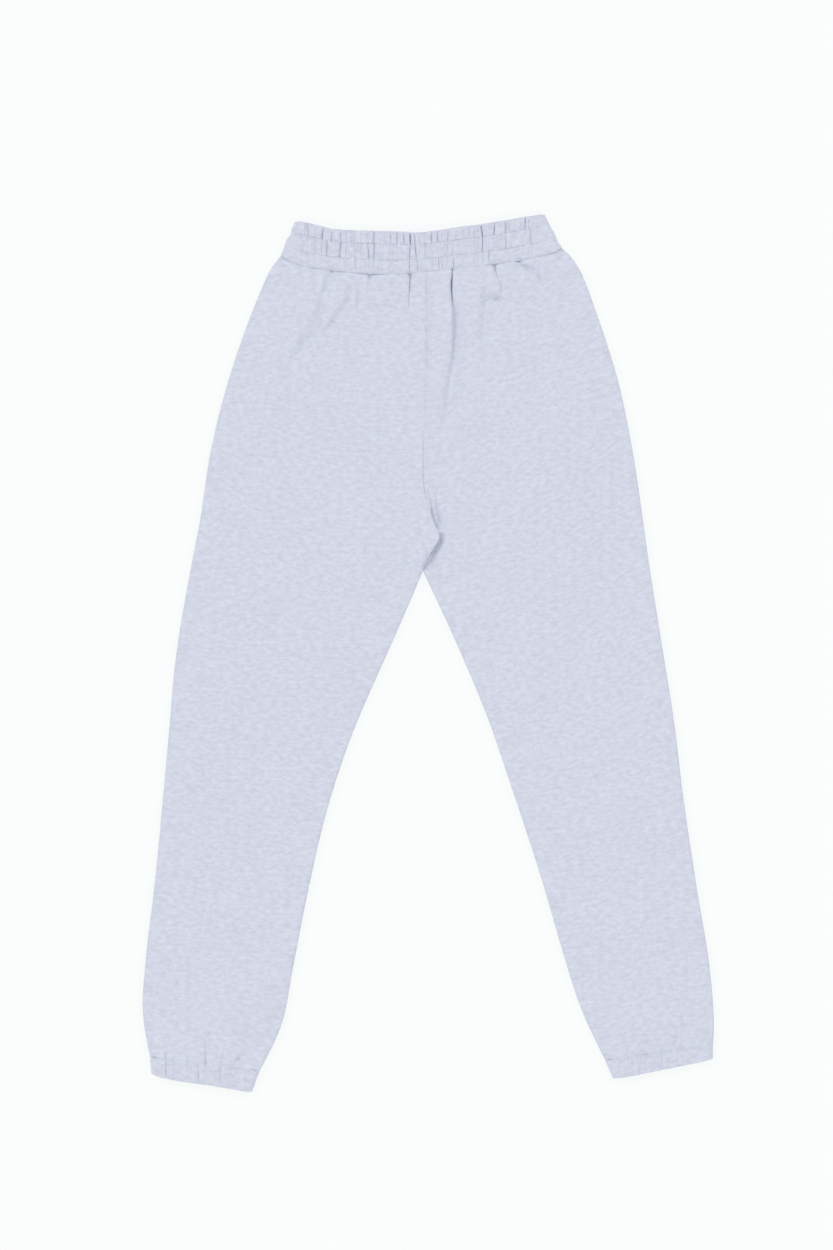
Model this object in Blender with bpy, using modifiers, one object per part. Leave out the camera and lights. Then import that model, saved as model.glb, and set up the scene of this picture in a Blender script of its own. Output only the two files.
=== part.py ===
"""Jogger sweatpants in fleece, lying flat with the back upward.

The legs are lofted between sections across the garment, from the waist seam to the hem.  The
front panels lie flat on the ground and roll up at the side seam and the inseam to meet the back
panels, which roll down.  At the crotch the left back panel folds over the right one.  All tables
are in millimetres; the finished pieces are in metres with +Z up and the waist toward +Y.
"""
import math

import bmesh
import bpy
from mathutils import Vector

NAME = "jogger_sweatpants"
MM = 0.001
ORIGIN_X = 0.463
ORIGIN_Y = 0.0

CLOTH = 2.0
BAND = 2.5
CASING = 2.4
SEAM_GAP = 0.3

# a fold at the side: the front piece rolls up to FOLD, and the back piece rolls down to FOOT
FOLD = 2.9
FOOT = FOLD + SEAM_GAP
SHOULDER = 6.3
BAND_LEFT = -158.0
BAND_LENGTH = 298.5
BAND_END_ZONE = 8.0
SLOPE_WIDTH = 45.0
LAP_SLOPE_WIDTH = 32.0
BED_SLOPE_WIDTH = 25.0

# one row for each section across the left leg, waist to hem: its two ends and the height between
# name, side_x, side_y, inner_x, inner_y, crown
LEFT_SECTIONS = [
    ("waist", -166.5, 446.5, -1.4, 428.6, 7.6),
    ("yoke", -180.6, 428.4, -1.1, 414.0, 7.5),
    ("high_hip", -198.6, 385.6, -0.5, 376.6, 7.3),
    ("hip", -226.2, 306.9, -1.3, 301.3, 7.3),
    ("low_hip", -246.2, 228.1, -2.6, 224.8, 7.3),
    ("seat", -258.4, 149.4, -3.0, 147.1, 7.3),
    ("crotch", -267.8, 96.5, -6.2, 92.0, 7.3),
    ("thigh", -282.0, 14.4, -41.0, 8.8, 7.3),
    ("mid_thigh", -292.1, -81.2, -84.3, -91.4, 7.3),
    ("knee", -299.2, -165.6, -113.1, -174.6, 7.2),
    ("calf", -309.1, -266.9, -137.0, -275.9, 7.1),
    ("shin", -318.6, -345.6, -152.6, -355.7, 7.1),
    ("ankle", -321.9, -407.5, -165.5, -421.0, 7.3),
    ("hem", -313.4, -454.2, -189.6, -469.9, 7.5),
]
RIGHT_SECTIONS = [
    ("waist", 147.4, 455.0, -1.4, 428.6, 7.6),
    ("yoke", 171.4, 428.4, -1.1, 414.0, 7.5),
    ("high_hip", 187.2, 385.6, -0.5, 376.6, 7.3),
    ("hip", 212.0, 306.9, -1.3, 301.3, 7.3),
    ("low_hip", 228.8, 228.1, -2.6, 224.8, 7.3),
    ("seat", 241.1, 149.4, -3.0, 147.1, 7.3),
    ("crotch", 248.9, 96.5, -6.2, 92.0, 7.3),
    ("thigh", 260.4, 22.3, 27.6, 16.6, 7.3),
    ("mid_thigh", 275.8, -75.6, 66.6, -73.4, 7.3),
    ("knee", 285.9, -156.6, 94.4, -153.2, 7.2),
    ("calf", 302.4, -266.9, 128.2, -261.2, 7.1),
    ("shin", 315.3, -345.6, 150.4, -338.9, 7.1),
    ("ankle", 321.0, -404.1, 170.4, -399.6, 7.3),
    ("hem", 320.6, -440.1, 198.0, -458.1, 7.5),
]

# the waist seam, a row for each point along it
# x, y
WAIST_SEAM = [
    (-166.5, 446.5),
    (-155.8, 440.3),
    (-146.8, 436.6),
    (-110.8, 430.1),
    (-71.4, 426.2),
    (-32.1, 425.8),
    (-1.4, 428.6),
    (25.3, 431.3),
    (73.7, 436.9),
    (116.4, 443.4),
    (131.1, 446.8),
    (140.1, 450.0),
    (147.4, 455.0),
]
# the upper edge of the waistband
# x, y
BAND_TOP = [
    (-151.0, 485.2),
    (-131.1, 481.6),
    (-110.8, 477.3),
    (-90.6, 475.6),
    (-63.6, 474.7),
    (-32.1, 473.6),
    (-11.8, 472.7),
    (17.4, 476.4),
    (46.7, 480.6),
    (80.4, 486.3),
    (105.2, 490.3),
    (132.0, 493.4),
]
# how far out the waistband's two ends stand, a row for each level down the band
# down, left_x, right_x
BAND_ENDS = [
    (0.00, -151.0, 132.0),
    (0.30, -156.4, 137.8),
    (0.65, -160.3, 143.0),
    (0.90, -163.0, 145.4),
    (1.00, -166.5, 147.4),
]
# levels down the waistband: height of the cloth there and the share of each channel's gathers
# down, height, upper, middle, lower
BAND_LEVELS = [
    (0.000, 7.2, 0.4, 0.0, 0.0),
    (0.060, 8.3, 0.9, 0.0, 0.0),
    (0.160, 8.8, 1.0, 0.0, 0.0),
    (0.282, 7.9, 0.3, 0.3, 0.0),
    (0.400, 8.9, 0.0, 0.9, 0.0),
    (0.540, 8.9, 0.0, 1.0, 0.0),
    (0.667, 7.9, 0.0, 0.3, 0.3),
    (0.780, 8.8, 0.0, 0.0, 0.9),
    (0.900, 8.7, 0.0, 0.0, 1.0),
    (1.000, 7.6, 0.0, 0.0, 0.4),
]
# gathers drawn up by the elastic: place along the band and depth in each of its three channels
# x, upper, middle, lower
BAND_GATHERS = [
    (-140.0, 0.3, 0.2, 0.1),
    (-130.0, 0.3, 0.3, 0.1),
    (-119.4, 1.2, 0.8, 0.2),
    (-108.6, 1.0, 0.4, 0.1),
    (-99.6, 0.9, 0.9, 0.2),
    (-84.0, 0.2, 0.7, 0.8),
    (-75.0, 0.3, 0.7, 0.8),
    (-64.5, 1.0, 0.7, 0.6),
    (-57.0, 0.3, 0.4, 0.8),
    (-44.0, 0.5, 0.8, 0.8),
    (-35.0, 1.0, 1.0, 0.4),
    (-28.0, 1.0, 0.3, 0.5),
    (-20.2, 1.4, 1.4, 1.2),
    (-14.6, 0.9, 1.2, 0.9),
    (-9.5, 0.8, 0.4, 0.4),
    (3.5, 0.9, 0.7, 0.3),
    (10.0, 1.3, 0.8, 0.4),
    (15.2, 0.9, 0.3, 0.8),
    (20.4, 0.9, 0.8, 0.8),
    (26.0, 0.9, 0.8, 0.9),
    (38.0, 0.8, 0.2, 0.2),
    (44.5, 0.9, 0.2, 0.2),
    (51.5, 1.0, 0.3, 0.8),
    (59.6, 1.4, 1.0, 0.3),
    (73.7, 1.3, 0.5, 0.6),
    (87.0, 0.9, 0.3, 0.3),
    (99.0, 0.4, 0.3, 0.3),
    (108.5, 1.0, 0.4, 0.2),
    (115.0, 1.0, 1.0, 0.3),
    (125.0, 0.3, 0.2, 0.1),
]

# the seat's spare cloth folding over at the crotch, a row for each level down the centre seam and
# the first of the inseams: how far the left panel laps, its crest, how far it turns under and the
# foot of that turn; the right panel's height below it, how far it turns and how wide it lies
# level; and how far the front panels turn up
# y, lap, crest, turn, foot, bed, bed_turn, bed_width, front_turn
CROTCH = [
    (200.0, 0.0, 7.3, 0.0, 5.0, 7.3, 0.0, 0.0, 0.0),
    (188.0, 0.0, 7.5, 0.0, 5.0, 7.0, 0.0, 1.0, 0.0),
    (176.0, 0.0, 8.5, 0.0, 5.0, 6.0, 0.0, 3.0, 0.0),
    (167.0, 0.0, 9.5, 10.0, 5.0, 5.0, 0.0, 6.0, 0.0),
    (161.0, 4.0, 10.1, 45.0, 5.0, 4.5, 0.0, 10.0, 0.0),
    (151.0, 8.6, 10.8, 90.0, 5.0, 4.4, 0.0, 16.0, 0.0),
    (136.0, 14.6, 11.2, 90.0, 5.0, 4.4, 0.0, 22.0, 0.0),
    (125.0, 13.0, 11.0, 90.0, 5.0, 4.4, 0.0, 20.0, 0.0),
    (113.0, 6.8, 10.2, 90.0, 5.0, 4.4, 0.0, 12.0, 0.0),
    (104.0, 0.0, 9.0, 90.0, 5.0, 4.5, 0.0, 4.0, 0.0),
    (98.0, 0.0, 8.0, 90.0, 4.4, 5.8, 20.0, 1.0, 20.0),
    (92.0, 0.0, 7.2, 90.0, 3.9, 6.9, 45.0, 0.0, 45.0),
    (85.0, 0.0, 6.8, 90.0, 3.7, 6.8, 75.0, 0.0, 75.0),
    (78.0, 0.0, 6.5, 90.0, 3.4, 6.5, 90.0, 0.0, 90.0),
    (66.0, 0.0, 6.3, 90.0, 3.2, 6.3, 90.0, 0.0, 90.0),
]

# creases in the back panels: ends, bow to the side, half width, rise on its left, fall on its
# right
# panel, x0, y0, x1, y1, bow, width, rise, fall
CREASES = [
    ("right", 25.3, 431.3, 20.5, 266.0, 6.5, 9.0, 1.5, 1.3),
    ("right", 73.7, 437.0, 62.0, 384.0, -4.0, 7.0, -0.9, 0.9),
    ("right", 117.5, 443.0, 136.0, 416.0, 1.0, 7.0, -0.7, 0.7),
    ("left", -20.0, 427.0, -22.5, 388.0, 0.0, 5.0, -0.8, 0.8),
    ("left", -66.0, 426.0, -68.0, 402.0, 0.0, 6.0, -0.7, 0.7),
    ("left", -85.0, 424.0, -112.0, 358.0, 2.0, 8.0, -1.0, 1.0),
    ("left", -110.8, 430.0, -162.0, 314.0, 1.0, 9.0, -1.2, 1.2),
    ("left", -250.5, -462.0, -251.5, -430.0, 0.0, 6.0, -0.8, 0.8),
    ("left", -286.0, -458.0, -290.0, -436.0, 0.0, 6.0, -0.6, 0.6),
    ("right", 285.0, -445.0, 285.5, -405.0, 0.0, 6.0, -0.8, 0.8),
    ("right", 245.0, -451.0, 241.0, -430.0, 0.0, 6.0, -0.6, 0.6),
]

# hem casings: corners at the free edge, and the gathers as shares of the way across from the
# side fold with their depths
# side_x, side_y, inner_x, inner_y
CASING_EDGE = {
    "left": (-312.4, -474.0, -198.2, -493.4),
    "right": (320.8, -457.4, 207.2, -479.4),
}
# share, depth
CASING_GATHERS = {
    "left": [
        (0.12, 1.0),
        (0.22, 0.6),
        (0.34, 0.5),
        (0.47, 1.0),
        (0.61, 1.0),
        (0.74, 0.7),
        (0.86, 0.5),
    ],
    "right": [
        (0.10, 0.4),
        (0.26, 0.6),
        (0.38, 0.5),
        (0.54, 0.9),
        (0.62, 0.9),
        (0.75, 0.6),
        (0.88, 0.4),
    ],
}
# levels down a hem casing
# down, height, gathers
CASING_LEVELS = [
    (0.00, 7.3, 0.5),
    (0.18, 8.4, 0.9),
    (0.50, 8.8, 1.0),
    (0.82, 8.3, 0.9),
    (1.00, 7.3, 0.4),
]

# a fold edge is three straight runs, from the shoulder out to the foot: each run's share of the
# fold's height and of its turn
# run, turn
ROLL = [
    (0.530, 1 / 3),
    (0.530, 2 / 3),
    (0.276, 1.0),
]
# columns between the two shoulders: millimetres in from the side, shares of what is left,
# millimetres in from the centre seam or inseam
SIDE_COLUMNS = [6.0, 16.0]
MID_SHARES = {
    "left": [0.12, 0.26, 0.40, 0.54, 0.68, 0.84],
    "right": [0.22, 0.45, 0.66, 0.84],
}
FRONT_SHARES = [0.16, 0.33, 0.50, 0.67, 0.84]
INNER_COLUMNS = {
    "left": [14.0, 5.0],
    "right": [32.0, 25.0, 19.0, 13.0, 5.0],
}
# levels of the rows down the seat, by height on the centre seam, then shares down to the hem
SEAT_ROWS = [
    428.6, 421.0, 411.0, 398.0, 383.0, 366.0, 348.0, 328.0, 306.0, 282.0, 256.0, 230.0,
    210.0, 196.0, 184.0, 174.0, 167.0, 161.0, 154.0, 147.0, 140.0, 133.0, 126.0, 119.0,
    113.0, 108.0, 104.0, 98.0, 92.0,
]
LEG_SHARES = [
    0.012, 0.025, 0.050, 0.095, 0.15, 0.21, 0.28, 0.36, 0.44, 0.52, 0.60, 0.68, 0.76,
    0.83, 0.88, 0.92, 0.955, 0.982, 1.0,
]
APEX = 92.0


def curve(table, key, value, at):
    """Smooth curve through two columns of a table, keyed in rising or falling order."""
    rows = sorted(table, key=lambda row: row[key])
    keys = [row[key] for row in rows]
    values = [row[value] for row in rows]
    count = len(keys)
    steps = [keys[i + 1] - keys[i] for i in range(count - 1)]
    slopes = [(values[i + 1] - values[i]) / steps[i] for i in range(count - 1)]
    if count == 2:
        return values[0] + slopes[0] * (at - keys[0])
    tangents = [0.0] * count
    for i in range(1, count - 1):
        weighted = slopes[i - 1] * steps[i] + slopes[i] * steps[i - 1]
        tangents[i] = weighted / (steps[i] + steps[i - 1])
    tangents[0] = 1.5 * slopes[0] - 0.5 * tangents[1]
    tangents[-1] = 1.5 * slopes[-1] - 0.5 * tangents[-2]
    i = 0
    while i < count - 2 and at > keys[i + 1]:
        i += 1
    t = (at - keys[i]) / steps[i]
    start = (1 + 2 * t) * (1 - t) ** 2 * values[i]
    start += t * (1 - t) ** 2 * steps[i] * tangents[i]
    end = t * t * (3 - 2 * t) * values[i + 1]
    end += t * t * (t - 1) * steps[i] * tangents[i + 1]
    return start + end


def ramp(table, key, value, at):
    """Straight-line reading between two columns of a table, held level past its ends."""
    rows = sorted(table, key=lambda row: row[key])
    if at <= rows[0][key]:
        return rows[0][value]
    for low, high in zip(rows, rows[1:]):
        if at <= high[key]:
            share = (at - low[key]) / (high[key] - low[key])
            return low[value] + share * (high[value] - low[value])
    return rows[-1][value]


def smooth(t):
    """Ease from nought to one."""
    t = min(1.0, max(0.0, t))
    return t * t * (3 - 2 * t)


def crease_height(panel, x, y):
    """Height that the creases of a panel add at a point."""
    total = 0.0
    for side, x0, y0, x1, y1, bow, width, rise, fall in CREASES:
        if side != panel:
            continue
        run = Vector((x1 - x0, y1 - y0))
        step = Vector((x - x0, y - y0))
        along = step.dot(run) / run.length_squared
        if along < -0.15 or along > 1.0:
            continue
        along = max(0.0, along)
        across = (step.y * run.x - step.x * run.y) / run.length
        across -= 4 * along * (1 - along) * bow
        strength = 1.0 - smooth((along - 0.35) / 0.65)
        bell = 2.718 ** (-((across / width) ** 2))
        turn = smooth(0.5 + across / 3.0)
        total += strength * bell * (rise * (1 - turn) - fall * turn)
    return total


def inner_x(sections, level):
    """The centre seam above the crotch, and the inseam below it."""
    if level >= APEX:
        part = [row for row in sections if row[4] >= APEX]
    else:
        part = [row for row in sections if row[4] <= APEX]
    return curve(part, 4, 3, level)


def section_at(sections, level):
    """Side point, inner point and crown at one level of the centre seam or inseam."""
    side = Vector((curve(sections, 4, 1, level), curve(sections, 4, 2, level)))
    inner = Vector((inner_x(sections, level), level))
    return side, inner, curve(sections, 4, 5, level)


def levels(sections, back):
    """Levels of a panel's rows from the waist seam to the hem; a front panel has fewer."""
    hem = sections[-1][4]
    rows = SEAT_ROWS + [APEX + share * (hem - APEX) for share in LEG_SHARES]
    if back:
        return rows
    return [level for i, level in enumerate(rows) if i % 2 == 0 or level == hem or 70 < level < 110]


def edge_columns(turn, foot, shoulder):
    """Columns of one edge, foot to shoulder, as distances in from the edge and heights."""
    fall = shoulder - foot
    distance, height = 0.0, shoulder
    columns = [(distance, height)]
    for run, part in ROLL:
        angle = math.radians(turn * part)
        distance += abs(fall) * run * math.cos(angle)
        height -= fall * run * math.sin(angle)
        columns.append((distance, height))
    return [(columns[-1][0] - distance, height) for distance, height in reversed(columns)]


def seam_shift(sections, share):
    """How far the waist seam stands off the straight line across the panel's top."""
    name, side_x, side_y, in_x, in_y, crown = sections[0]
    x = side_x + share * (in_x - side_x)
    line = side_y + share * (in_y - side_y)
    return curve(WAIST_SEAM, 0, 1, x) - SEAM_GAP / 2 - line


def panel_rows(panel, sections, back):
    """Rows of points over a back or front panel, side fold first."""
    rows = []
    for level in levels(sections, back):
        side, inner, crown = section_at(sections, level)
        reach = 1.0 if panel == "left" else -1.0
        lap = [ramp(CROTCH, 0, k, level) for k in range(9)]
        bed_width, slope_width = 0.0, SLOPE_WIDTH
        if back:
            top = crown - 7.3 if level > APEX else 0.0
            if panel == "left":
                inner.x += lap[1]
                turn, foot, shoulder = lap[3], lap[4], lap[2] + top
                slope_width = LAP_SLOPE_WIDTH if level > APEX else SLOPE_WIDTH
            else:
                turn, foot, shoulder = lap[6], lap[5] - 3.1, lap[5] + top
                bed_width = lap[7]
                slope_width = BED_SLOPE_WIDTH if level > APEX else SLOPE_WIDTH
        inner.x -= reach * SEAM_GAP / 2
        width = abs(inner.x - side.x)
        if back:
            near_side = edge_columns(90.0, FOOT, SHOULDER)
            near_inner = edge_columns(turn, foot, shoulder)
        else:
            near_side = edge_columns(90.0, FOLD, 0.0)
            near_inner = edge_columns(lap[8], FOLD, 0.0)
        first = near_side[-1][0]
        last = near_inner[-1][0]
        places = [first + step for step in SIDE_COLUMNS]
        far = INNER_COLUMNS[panel] if back else [12.0]
        left_over = width - first - last - SIDE_COLUMNS[-1] - far[0]
        shares = MID_SHARES[panel] if back else FRONT_SHARES
        places += [first + SIDE_COLUMNS[-1] + share * left_over for share in shares]
        places += [width - last - step for step in far]
        points = [(distance, height) for distance, height in near_side]
        for place in places:
            height = 0.0
            if back:
                down = max(0.0, 1 - (place - first) / SLOPE_WIDTH)
                bed = max(0.0, width - last - place - bed_width)
                inward = max(0.0, 1 - bed / slope_width)
                height = crown - (crown - SHOULDER) * down**2
                height -= (crown - shoulder) * inward**2
            points.append((place, height))
        points += [(width - distance, height) for distance, height in reversed(near_inner)]
        row = []
        for place, height in points:
            share = place / width
            x = side.x + share * (inner.x - side.x)
            y = side.y + share * (inner.y - side.y)
            y += seam_shift(sections, share) * (1 - smooth((SEAT_ROWS[0] - level) / 90.0))
            y += SEAM_GAP / 2 if level == sections[-1][4] else 0.0
            if back:
                keep = smooth(min(place, abs(width - place) + 6.0) / 12.0)
                height += keep * crease_height(panel, x, y)
            row.append((x, y, height))
        rows.append(row if panel == "left" else row[::-1])
    return rows


def band_x(place, down):
    """Place along the band, pushed out or in at its ends for the level down the band."""
    left_shift = curve(BAND_ENDS, 0, 1, down) - BAND_LEFT
    right_shift = curve(BAND_ENDS, 0, 2, down) - BAND_LEFT - BAND_LENGTH
    from_end = max(0.0, min(place, BAND_LENGTH - place) - BAND_END_ZONE)
    lean = (1 - from_end / (BAND_LENGTH / 2 - BAND_END_ZONE)) ** 4
    shift = left_shift if place < BAND_LENGTH / 2 else right_shift
    return BAND_LEFT + place + lean * shift


def band_point(place, down, inset):
    """A point of the waistband, by its place from the left end and its share down."""
    top = curve(BAND_TOP, 0, 1, band_x(place, 0.0)) - inset
    seam = curve(WAIST_SEAM, 0, 1, band_x(place, 1.0)) + SEAM_GAP / 2 + 0.1 + inset / 2
    return band_x(place, down), top + down * (seam - top)


def band_back_rows():
    """Rows over the back half of the waistband, with its gathers."""
    spots = [gather[0] for gather in BAND_GATHERS]
    middles = [(a + b) / 2 for a, b in zip(spots, spots[1:])]
    places = [spot - BAND_LEFT for spot in spots + middles]
    places = sorted(places + [9.0, BAND_LENGTH - 9.0])
    rows = []
    for down, height, upper, middle, lower in BAND_LEVELS:
        ends = edge_columns(90.0, FOOT, height)
        points = [(distance, z) for distance, z in ends]
        for place in places:
            depth = 0.0
            for x, top, centre, bottom in BAND_GATHERS:
                if abs(x - BAND_LEFT - place) < 0.01:
                    depth = top * upper + centre * middle + bottom * lower
            points.append((place, height - depth))
        points += [(BAND_LENGTH - distance, z) for distance, z in reversed(ends)]
        row = []
        for place, z in points:
            x, y = band_point(place, down, 0.0)
            row.append((x, y, z))
        rows.append(row)
    return rows


def band_front_rows():
    """Rows over the front half of the waistband, which lies flat on the ground."""
    rows = []
    ends = edge_columns(90.0, FOLD, 0.0)
    inside = [8.0 + k / 16 * (BAND_LENGTH - 16.0) for k in range(17)]
    points = [(distance, z) for distance, z in ends]
    points += [(place, 0.0) for place in inside]
    points += [(BAND_LENGTH - distance, z) for distance, z in reversed(ends)]
    for down in (0.0, 0.35, 0.7, 0.9, 1.0):
        row = []
        for place, z in points:
            x, y = band_point(place, down, 0.8)
            row.append((x, y, z))
        rows.append(row)
    return rows


def casing_rows(panel, sections, back):
    """Rows over one half of a hem casing, side fold first."""
    hem = sections[-1]
    top_side, top_inner = Vector(hem[1:3]), Vector(hem[3:5])
    edge = CASING_EDGE[panel]
    free_side, free_inner = Vector(edge[0:2]), Vector(edge[2:4])
    gathers = CASING_GATHERS[panel]
    spots = [share for share, depth in gathers]
    middles = [(a + b) / 2 for a, b in zip([0.04] + spots, spots + [0.96])]
    rows = []
    table = CASING_LEVELS if back else CASING_LEVELS[::2]
    for down, level, share_of_depth in table:
        side = top_side.lerp(free_side, down)
        inner = top_inner.lerp(free_inner, down)
        width = (inner - side).length
        if back:
            ends = edge_columns(90.0, FOOT, level)
            places = sorted(spots + middles)
        else:
            ends = edge_columns(90.0, FOLD, 0.0)
            places = [0.2, 0.5, 0.8]
        points = [(distance, z) for distance, z in ends]
        for place in places:
            depth = 0.0
            for share, deep in gathers:
                if abs(share - place) < 0.001:
                    depth = deep * share_of_depth
            points.append((place * width, level - depth if back else 0.0))
        points += [(width - distance, z) for distance, z in reversed(ends)]
        row = []
        for place, z in points:
            spot = side.lerp(inner, place / width)
            seam = SEAM_GAP / 2 * (1 - down)
            row.append((spot.x, spot.y - seam, z))
        rows.append(row if panel == "left" else row[::-1])
    return rows


def material(name, colour):
    """Plain fleece colour for one piece."""
    made = bpy.data.materials.new(name)
    made.use_nodes = True
    shader = made.node_tree.nodes["Principled BSDF"]
    shader.inputs["Base Color"].default_value = (*colour, 1.0)
    shader.inputs["Roughness"].default_value = 0.9
    made.diffuse_color = (*colour, 1.0)
    return made


def add_piece(collection, name, rows, wall, colour, upward):
    """One cloth piece: a grid shaped to the rows, thickened inward to its wall."""
    mesh = bpy.data.meshes.new(name)
    build = bmesh.new()
    down, across = len(rows) - 1, len(rows[0]) - 1
    bmesh.ops.create_grid(build, x_segments=across, y_segments=down, size=1.0)
    for vertex in build.verts:
        column = round((vertex.co.x + 1) / 2 * across)
        line = round((1 - vertex.co.y) / 2 * down)
        x, y, z = rows[line][column]
        vertex.co = Vector((x + ORIGIN_X, y + ORIGIN_Y, z)) * MM
    if not upward:
        bmesh.ops.reverse_faces(build, faces=build.faces)
    for face in build.faces:
        face.smooth = True
    build.to_mesh(mesh)
    build.free()
    piece = bpy.data.objects.new(name, mesh)
    collection.objects.link(piece)
    mesh.materials.append(material(name + "_cloth", colour))
    solid = piece.modifiers.new("wall", "SOLIDIFY")
    solid.thickness = wall * MM
    solid.offset = -1.0
    solid.use_rim = True
    return piece


def main():
    for old in list(bpy.data.objects):
        bpy.data.objects.remove(old, do_unlink=True)
    collection = bpy.data.collections.new(NAME)
    bpy.context.scene.collection.children.link(collection)
    body = (0.62, 0.64, 0.73)
    shade = (0.59, 0.61, 0.70)
    trim = (0.60, 0.62, 0.71)
    for panel, sections in (("left", LEFT_SECTIONS), ("right", RIGHT_SECTIONS)):
        for half, back in (("back", True), ("front", False)):
            rows = panel_rows(panel, sections, back)
            name = f"{half}_panel_{panel}"
            add_piece(collection, name, rows, CLOTH, body if back else shade, back)
            rows = casing_rows(panel, sections, back)
            name = f"hem_casing_{panel}_{half}"
            add_piece(collection, name, rows, CASING, trim, back)
    add_piece(collection, "waistband_back", band_back_rows(), BAND, trim, True)
    add_piece(collection, "waistband_front", band_front_rows(), BAND, trim, False)


main()
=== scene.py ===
"""Looks of the jogger sweatpants lying flat: fleece panels with their creases, the gathered
waistband and hem casings, the stitching, and the pale studio that shows them.

Tables are in millimetres in the frame of the solids, before ORIGIN_X is added.
"""

import random
from math import copysign, cos, hypot, pi, radians, sin

import bmesh
import bpy
import numpy as np
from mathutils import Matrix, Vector, noise


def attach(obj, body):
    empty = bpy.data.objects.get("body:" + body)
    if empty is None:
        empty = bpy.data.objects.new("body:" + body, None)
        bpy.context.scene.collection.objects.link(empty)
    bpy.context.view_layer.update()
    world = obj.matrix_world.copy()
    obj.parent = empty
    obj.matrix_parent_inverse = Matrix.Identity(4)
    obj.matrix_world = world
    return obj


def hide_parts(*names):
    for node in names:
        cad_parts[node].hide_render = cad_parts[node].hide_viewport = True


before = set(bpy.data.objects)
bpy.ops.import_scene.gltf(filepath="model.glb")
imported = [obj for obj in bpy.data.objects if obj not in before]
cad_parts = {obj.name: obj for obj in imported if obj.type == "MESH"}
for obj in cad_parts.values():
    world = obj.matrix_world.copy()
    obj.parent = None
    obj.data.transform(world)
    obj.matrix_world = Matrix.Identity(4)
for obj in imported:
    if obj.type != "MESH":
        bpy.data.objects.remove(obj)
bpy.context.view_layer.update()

MM = 0.001
ORIGIN_X = 0.463

# the solids' own sizes
CLOTH = 2
BAND = 2.5
CASING = 2.4
FOLD = 2.9
FOOT = 3.2
SHOULDER = 6.3
BAND_LEFT = -158
BAND_LENGTH = 298.5
BAND_END_ZONE = 8
BAND_CROWN = 9
SLOPE_WIDTH = 45
LAP_SLOPE_WIDTH = 32
APEX = 92
TOP_LEVEL = 428.6
CROWN = 7.3
SEAM_GAP = 0.02
# the lap's fold and how far its foot is tucked in, and the height of the bed's own edge
LAP_RADIUS = 2.2
LAP_TUCK = 1.4
BED_EDGE = 3.1
FRONT_SEAM_RISE = 0.4
# lowest outer and inner faces of the upper cloth, clear of the cloth below
PANEL_FLOOR = 3.1
PANEL_LINING = 2.2
BAND_FLOOR = 4
BAND_LINING = 3.35
CASING_FLOOR = 3.8
CASING_LINING = 3.15
# rows or columns the inner face keeps clear of a hollow, and the thinnest wall
LINING_REACH = 3
THINNEST = 0.6
# steps in a rounded free fold, and the angle from which an edge is sharp
RIM_STEPS = 6
SHARP = 62

# side_x, side_y, inner_x, inner_y, crown
SECTIONS = {"left": [
    (-166.5, 446.5, -1.4, 428.6, 7.6), (-179.6, 428.4, -1.1, 414, 7.5),
    (-183.6, 419.4, -0.9, 406.1, 7.4), (-197.6, 385.6, -0.5, 376.6, 7.3),
    (-225, 306.9, -1.3, 301.3, 7.3), (-244.8, 228.1, -2.6, 224.8, 7.3),
    (-257.1, 149.4, -3, 147.1, 7.3), (-267.2, 96.5, -6.2, 92, 7.3), (-281.5, 14.4, -42, 8.8, 7.3),
    (-285.6, -16, -55.3, -20.6, 7.3), (-291.4, -81.2, -85.7, -91.4, 7.3),
    (-299, -165.6, -113.3, -174.6, 7.2), (-309, -266.9, -136.9, -275.9, 7.1),
    (-318.2, -345.6, -152.6, -355.7, 7.1), (-321.3, -407.5, -166.2, -421, 7.3),
    (-313.4, -454.2, -189.6, -469.9, 7.5),
], "right": [
    (150.6, 455, -1.4, 428.6, 7.6), (159.6, 446.4, -1.3, 423.9, 7.5),
    (171.6, 428.4, -1.1, 414, 7.5), (175.6, 419.4, -0.9, 406.1, 7.4),
    (188, 385.6, -0.5, 376.6, 7.3), (213.1, 306.9, -1.3, 301.3, 7.3),
    (229.7, 228.1, -2.6, 224.8, 7.3), (241.4, 149.4, -3, 147.1, 7.3),
    (248.9, 96.5, -6.2, 92, 7.3), (260.6, 22.3, 28.8, 16.6, 7.3),
    (276.2, -75.6, 66.6, -73.4, 7.3), (286.1, -156.6, 94, -153.2, 7.2),
    (302.4, -266.9, 129.2, -261.2, 7.1), (315.4, -345.6, 151.8, -338.9, 7.1),
    (321, -404.1, 171.4, -399.6, 7.3), (320.2, -440.1, 198.6, -458.1, 7.5),
]}
# x, y
WAIST_SEAM = [
    (-166.5, 446.5), (-155.8, 440.3), (-146.8, 436.6), (-110.8, 430.1), (-71.4, 426.2),
    (-32.1, 425.8), (-1.4, 428.6), (25.3, 431.3), (73.7, 436.9), (116.4, 443.4), (131.1, 446.8),
    (140.6, 450), (150.6, 455),
]
# x, y
BAND_TOP = [
    (-151, 485.4), (-136.7, 483.9), (-123.2, 480.7), (-109.7, 477.2), (-90.6, 475.6),
    (-63.6, 474.7), (-32.1, 473.8), (-13.8, 472.8), (11.8, 475.4), (38.8, 479.6), (52.3, 480.9),
    (65.8, 483), (79.3, 485.4), (92.8, 487.5), (106.3, 490), (132, 493.4),
]
# down, left_x, right_x
BAND_ENDS = [
    (0, -150.8, 131.4), (0.2, -154, 135), (0.4, -155.4, 138.2), (0.47, -159.2, 140.6),
    (0.68, -161.8, 144), (0.82, -163.6, 145.4), (0.9, -164.8, 148.6), (1, -166.5, 150.6),
]
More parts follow.
